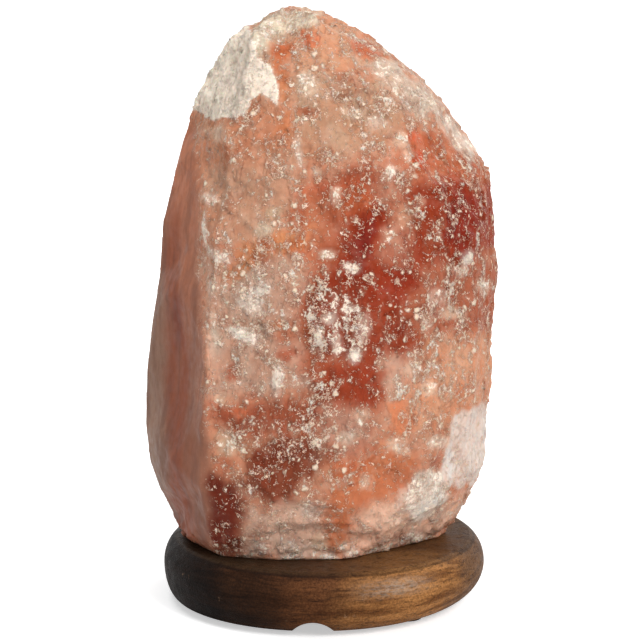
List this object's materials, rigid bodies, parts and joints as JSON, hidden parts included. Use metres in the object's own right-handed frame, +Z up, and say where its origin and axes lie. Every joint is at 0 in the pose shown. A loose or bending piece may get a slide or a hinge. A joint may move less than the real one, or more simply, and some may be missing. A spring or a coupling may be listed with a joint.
{
  "type": "salt crystal lamp",
  "caption": "Hewn block of pink rock salt on a round dark wooden base, lit from inside by a small screw bulb in a spring clip lampholder that pulls out below.",
  "frame": {"origin": "on the floor, on the axis of the bore through the base, in the middle of the four feet", "axes": "+Z up, -Y towards the front, where the cord channel leaves the base, +X to the right as seen from the front"},
  "size_m": [0.1315, 0.12, 0.2205],
  "materials": {
    "rock_salt": "rough, translucent rock salt, salmon pink with dark red and white zones",
    "stained_wood": "dark brown stain with a soft sheen",
    "zinc_steel": "zinc plated",
    "nylon": "grey nylon",
    "rubber": "matt",
    "black_plastic": "moulded phenolic, semi gloss",
    "spring_steel": "nickel plated spring steel",
    "white_ceramic": "glazed",
    "contact_brass": "bright",
    "solder": "dull solder",
    "bulb_glass": "clear",
    "cap_metal": "nickel plated",
    "black_glass": "black glass",
    "wire_metal": "nickel iron wire",
    "tungsten": "tungsten"
  },
  "bodies": {
    "lamp_body": {"salt_crystal": "rock_salt", "wooden_base": "stained_wood", "crystal_screws": "zinc_steel", "screw_washers": "zinc_steel", "crystal_plugs": "nylon", "rubber_feet": "rubber", "foot_tacks": "zinc_steel"},
    "lampholder": {"holder_shell": "black_plastic", "holder_cap": "black_plastic", "clip_ring_nut": "black_plastic", "clip_saddle": "spring_steel", "contact_carrier": "white_ceramic", "screw_shell": "contact_brass", "centre_contact": "contact_brass", "contact_rivets": "contact_brass", "wire_terminals": "contact_brass", "terminal_screws": "zinc_steel"},
    "clip_wing_left": {"left_clip_wing": "spring_steel"},
    "clip_wing_right": {"right_clip_wing": "spring_steel"},
    "bulb_tip": {"bulb_contact": "solder"},
    "bulb": {"bulb_glass": "bulb_glass", "bulb_cap": "cap_metal", "cap_insulator": "black_glass", "glass_stem": "bulb_glass", "lead_wires": "wire_metal", "filament_support": "wire_metal", "filament": "tungsten"}
  },
  "joints": [
    {"name": "lampholder_pull", "type": "slide", "parent": "lamp_body", "child": "lampholder", "axis": [0, 0, -1], "range_m": [0, 0.1]},
    {"name": "wing_left_squeeze", "type": "hinge", "parent": "lampholder", "child": "clip_wing_left", "pos_m": [-0.018, 0, 0.0299], "axis": [0, -1, 0], "range_deg": [0, 8], "stiffness_Nm_per_rad": 0.5},
    {"name": "wing_right_squeeze", "type": "hinge", "parent": "lampholder", "child": "clip_wing_right", "pos_m": [0.018, 0, 0.0299], "axis": [0, 1, 0], "range_deg": [0, 8], "stiffness_Nm_per_rad": 0.5},
    {"name": "bulb_rise", "type": "slide", "parent": "lampholder", "child": "bulb_tip", "axis": [0, 0, 1], "range_m": [0, 0.01129]},
    {"name": "bulb_turn", "type": "hinge", "parent": "bulb_tip", "child": "bulb", "pos_m": [0, 0, 0.05], "axis": [0, 0, 1], "range_deg": [0, 1440]}
  ],
  "couplings": [
    {"joint": "bulb_rise", "follows": "bulb_turn", "m_per_rad": 0.00044914}
  ]
}
